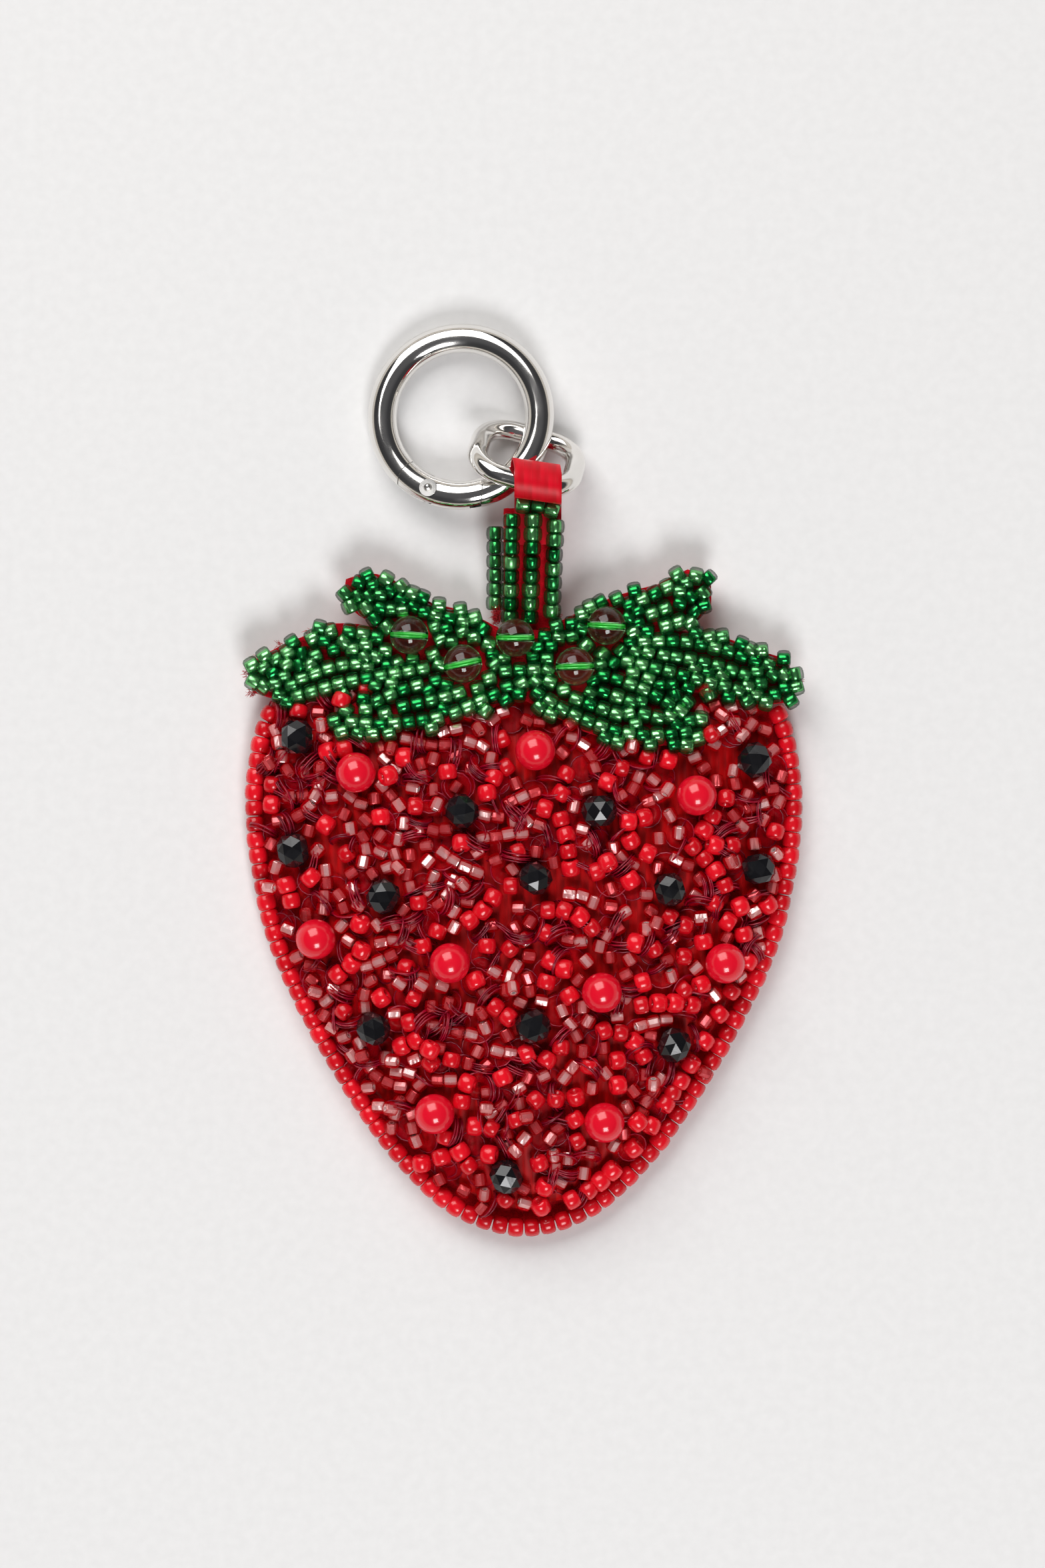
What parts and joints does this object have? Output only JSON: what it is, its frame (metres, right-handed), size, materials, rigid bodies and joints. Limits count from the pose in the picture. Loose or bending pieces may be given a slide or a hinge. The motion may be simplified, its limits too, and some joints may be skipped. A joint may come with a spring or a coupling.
{
  "type": "plush keychain",
  "caption": "Padded strawberry bag charm covered in glass beads and sequins, with a beaded leaf crown and stem, a ribbon loop, an oval link and a spring-gate ring.",
  "frame": {"origin": "under the middle of the whole charm as it lies on its back, on the surface it lies on", "axes": "+Y along the charm from the strawberry's point to the ring, +Z out of the beaded face, +X to the right as the beaded face is seen"},
  "size_m": [0.0834, 0.1365, 0.0146],
  "materials": {
    "red_felt": "short matt felt",
    "stuffing_fibre": "loose fibre",
    "red_satin": "satin",
    "red_ribbon": "satin ribbon",
    "red_glass": "glossy glass bead",
    "black_glass": "glossy cut glass",
    "green_glass": "glossy clear glass with a silver lining",
    "plated_metal": "polished plating"
  },
  "bodies": {
    "charm": {"back_cover": "red_felt", "stuffing": "stuffing_fibre", "front_cover": "red_satin", "seed_bead_field": "red_glass", "edge_seed_beads": "red_glass", "black_faceted_beads": "black_glass", "red_round_beads": "red_glass", "green_round_beads": "green_glass", "calyx_felt": "red_felt", "calyx_centre_beads": "green_glass", "left_leaf_beads": "green_glass", "upper_left_leaf_beads": "green_glass", "lower_left_leaf_beads": "green_glass", "right_leaf_beads": "green_glass", "upper_right_leaf_beads": "green_glass", "lower_right_leaf_beads": "green_glass", "stem_felt": "red_felt", "stem_side_beads": "green_glass", "stem_front_beads": "green_glass", "stem_top_beads": "green_glass", "ribbon_tails": "red_ribbon"},
    "ribbon_loop": {"ribbon_loop": "red_ribbon"},
    "oval_link": {"oval_link": "plated_metal"},
    "ring": {"ring_frame": "plated_metal", "gate_rivet": "plated_metal"},
    "gate": {"gate": "plated_metal"}
  },
  "joints": [
    {"name": "ribbon_fold", "type": "hinge", "parent": "charm", "child": "ribbon_loop", "pos_m": [0.0021, 0.0432, 0.0073], "axis": [1, 0, 0], "range_deg": [-20, 0]},
    {"name": "link_swing", "type": "hinge", "parent": "ribbon_loop", "child": "oval_link", "pos_m": [-0.00056, 0.04502, 0.01114], "axis": [0.9636, -0.2672, 0], "range_deg": [0, 50]},
    {"name": "ring_turn", "type": "hinge", "parent": "oval_link", "child": "ring", "pos_m": [-0.0094, 0.0548, 0.00393], "axis": [-0.1159, 0.0889, 0.9893], "range_deg": [-180, 0]},
    {"name": "gate_open", "type": "hinge", "parent": "ring", "child": "gate", "pos_m": [-0.01406, 0.04391, 0.00436], "axis": [-0.1159, 0.0889, 0.9893], "range_deg": [0, 18], "stiffness_Nm_per_rad": 0.02, "springref_deg": -11.46}
  ]
}
